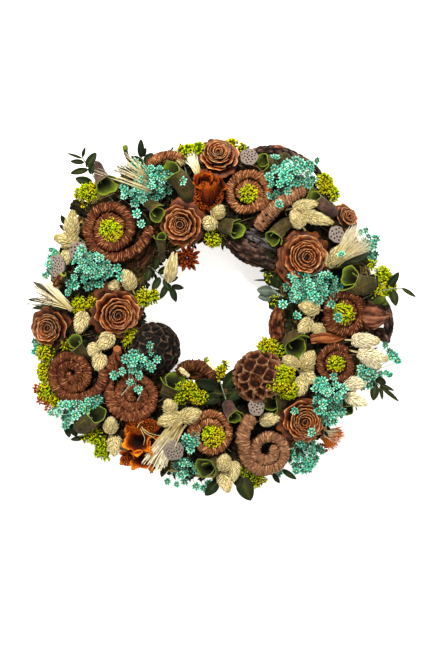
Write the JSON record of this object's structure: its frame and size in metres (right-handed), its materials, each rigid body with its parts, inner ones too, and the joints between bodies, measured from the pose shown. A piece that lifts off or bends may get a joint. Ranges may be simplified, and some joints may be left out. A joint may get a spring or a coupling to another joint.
{
  "type": "dried flower wreath",
  "caption": "Round wreath of dried pods, ribbed coils, cedar roses, lotus pods, grass heads, rolled leaves, lime moss, turquoise star flowers and dark green sprigs on a straw ring.",
  "frame": {"origin": "Middle of the overall plan box, on the flat underside of the straw ring, which lies on the table.", "axes": "+X to the right across the wreath's widest way, +Y up in the picture, +Z out of the face with the flowers. The wreath lies on its back."},
  "size_m": [0.388, 0.3649, 0.0711],
  "materials": {
    "straw": "dry wrapped straw with lime lichen moss",
    "ribbed_rind": "matt ribbed dry rind",
    "bark": "rough dark bark",
    "cedar_rose": "waxy red-brown cone scales",
    "lotus_pod": "matt grey pod",
    "rolled_leaf": "felted dry leaf with a lime edge",
    "orange_bloom": "matt orange petals",
    "grass_cream": "dry cream husks",
    "star_flower": "dyed turquoise petals",
    "ruscus_leaf": "preserved dark green leaf"
  },
  "bodies": {
    "root": {"bark_inner": "bark", "bark_top": "bark", "bleached_pod": "grass_cream", "brown_right": "bark", "coil_bottom": "ribbed_rind", "coil_bottom_left": "ribbed_rind", "coil_left": "ribbed_rind", "coil_low_left": "ribbed_rind", "coil_right": "ribbed_rind", "coil_right_low": "ribbed_rind", "coil_top": "ribbed_rind", "coil_top_left": "ribbed_rind", "curl_inner_low": "ribbed_rind", "curl_top": "ribbed_rind", "grass_fan_right": "grass_cream", "grass_fan_top": "grass_cream", "grass_heads_bottom": "grass_cream", "grass_heads_bottom_left": "grass_cream", "grass_heads_left": "grass_cream", "grass_heads_low_left": "grass_cream", "grass_heads_low_right": "grass_cream", "grass_heads_right": "grass_cream", "grass_heads_top": "grass_cream", "leaf_rolls_bottom": "rolled_leaf", "leaf_rolls_left": "rolled_leaf", "leaf_rolls_low_right": "rolled_leaf", "leaf_rolls_right": "rolled_leaf", "leaf_rolls_top": "rolled_leaf", "leaf_rolls_top_left": "rolled_leaf", "lotus_large_left": "lotus_pod", "lotus_large_low": "lotus_pod", "lotus_small_bottom": "lotus_pod", "lotus_small_left": "lotus_pod", "lotus_small_top": "lotus_pod", "orange_bottom": "orange_bloom", "orange_low_right": "orange_bloom", "orange_top": "orange_bloom", "rose_left": "cedar_rose", "rose_left_edge": "cedar_rose", "rose_low_right": "cedar_rose", "rose_right_edge": "cedar_rose", "rose_top": "cedar_rose", "rose_upper_left": "cedar_rose", "rose_upper_right": "cedar_rose", "ruscus_bottom": "ruscus_leaf", "ruscus_inner": "ruscus_leaf", "ruscus_inner_low": "ruscus_leaf", "ruscus_inner_right": "ruscus_leaf", "ruscus_low_left": "ruscus_leaf", "ruscus_right": "ruscus_leaf", "ruscus_top_left": "ruscus_leaf", "stars_bottom": "star_flower", "stars_bottom_left": "star_flower", "stars_left": "star_flower", "stars_low_left": "star_flower", "stars_low_right": "star_flower", "stars_right": "star_flower", "stars_top_left": "star_flower", "stars_top_right": "star_flower", "straw_ring": "straw"}
  },
  "joints": []
}
